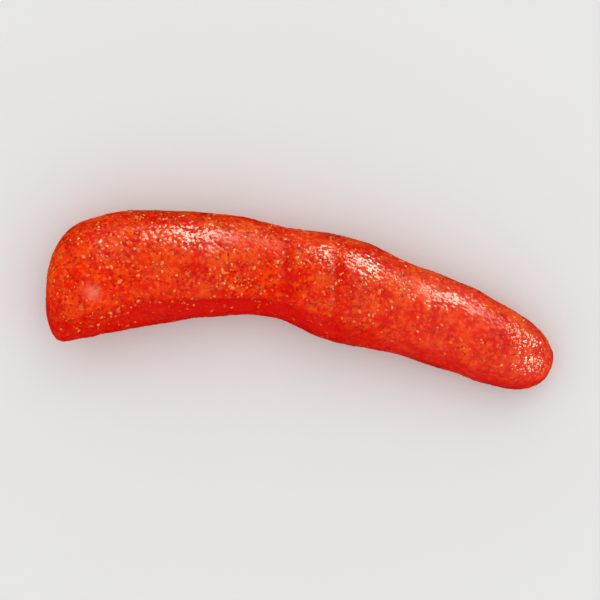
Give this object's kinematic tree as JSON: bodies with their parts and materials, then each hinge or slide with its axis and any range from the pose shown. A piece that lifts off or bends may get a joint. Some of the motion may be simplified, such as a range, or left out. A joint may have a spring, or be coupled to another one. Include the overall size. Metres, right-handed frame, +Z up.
{
  "type": "spicy cod roe",
  "caption": "Whole sac of chili-cured cod roe: a plump, curved tube of eggs in thin skin, blunt at the heel, tapering to a round tip, flecked with chili.",
  "frame": {"origin": "middle of the sac's outline seen from above, on the surface that it rests on", "axes": "+Z up; +X along the sac from its blunt heel to its round tip; +Y towards its rounded back"},
  "size_m": [0.1256, 0.0444, 0.0241],
  "materials": {
    "roe_skin": "moist, translucent skin over fine eggs, orange-red, semi-gloss",
    "chili_flake": "dried, crushed chili skin, wet and dark red to orange-red, semi-gloss",
    "chili_seed": "golden-orange seed fragments, smooth and moist"
  },
  "bodies": {
    "root": {"roe_sac": "roe_skin"}
  },
  "joints": []
}
